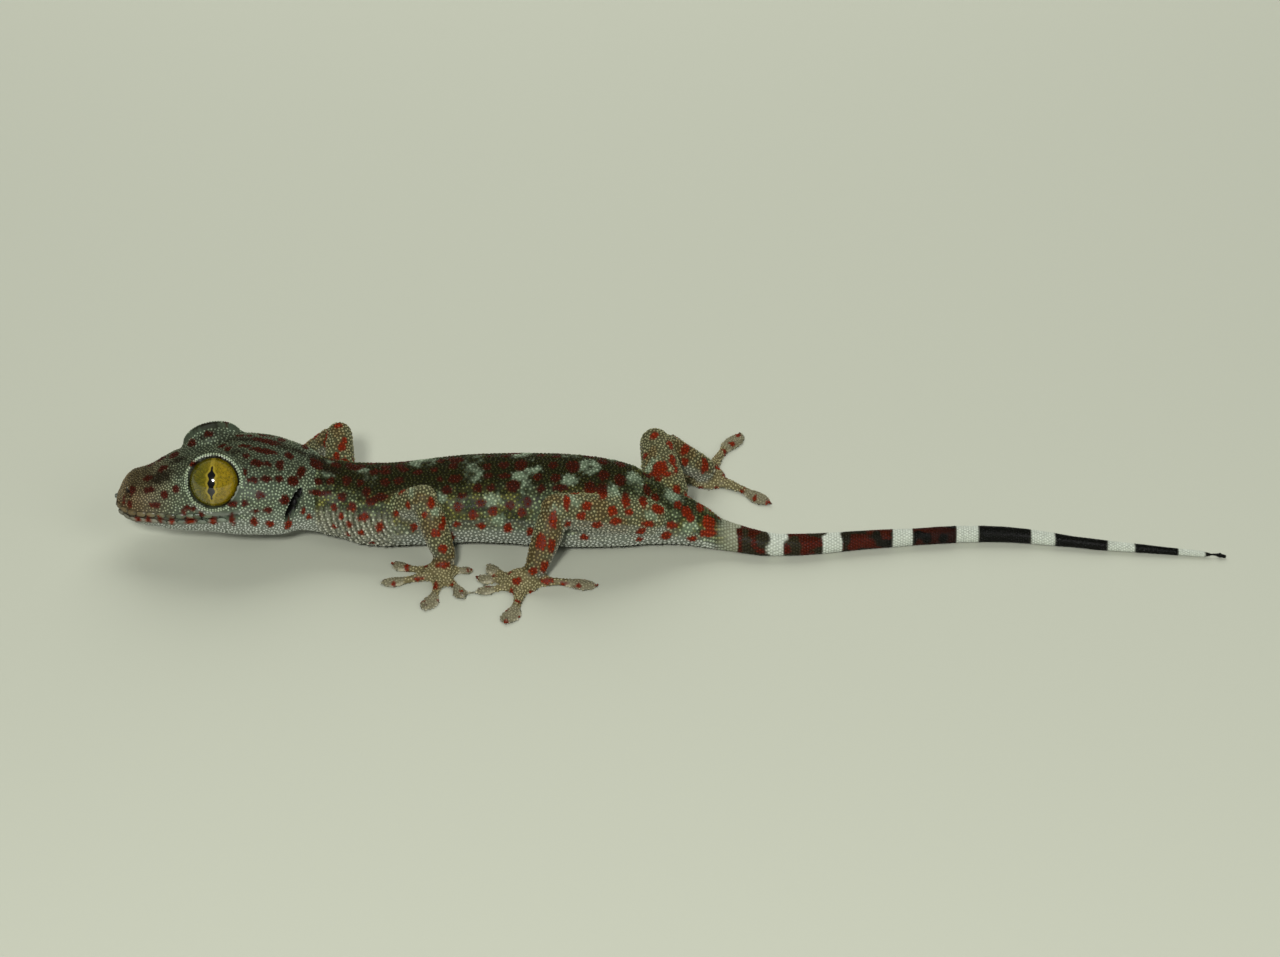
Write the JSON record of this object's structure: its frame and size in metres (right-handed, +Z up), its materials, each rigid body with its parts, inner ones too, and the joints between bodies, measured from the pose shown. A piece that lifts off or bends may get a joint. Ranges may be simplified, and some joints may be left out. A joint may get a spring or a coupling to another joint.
{
  "type": "tokay gecko hatchling, still life-size model",
  "caption": "Life-size hatchling tokay gecko in its real pose: broad head with lidded eyes and ear slits, plump body, bent legs with wide-padded toes and a thin tail laid on the floor",
  "frame": {"origin": "on the floor under the middle of the whole animal's box", "axes": "+X from the snout toward the tail, +Y toward the animal's right side, +Z up from the floor"},
  "size_m": [0.1066, 0.0364, 0.0112],
  "materials": {
    "skin": "satin, finely beaded",
    "limb_skin": "satin, finely beaded",
    "tail_skin": "satin, ringed pale and dark",
    "toe_skin": "satin, thin and pale",
    "eye": "wet gloss"
  },
  "bodies": {
    "root": {"head": "skin", "lower_jaw": "skin", "left_eye": "eye", "right_eye": "eye", "neck": "skin", "torso": "skin", "tail_1": "tail_skin", "tail_2": "tail_skin", "tail_3": "tail_skin", "tail_4": "tail_skin", "left_front_upper_arm": "limb_skin", "left_front_forearm": "limb_skin", "left_front_hand": "toe_skin", "right_front_upper_arm": "limb_skin", "right_front_forearm": "limb_skin", "right_front_hand": "toe_skin", "left_hind_thigh": "limb_skin", "left_hind_shin": "limb_skin", "left_hind_foot": "toe_skin", "right_hind_thigh": "limb_skin", "right_hind_shin": "limb_skin", "right_hind_foot": "toe_skin"}
  },
  "joints": []
}
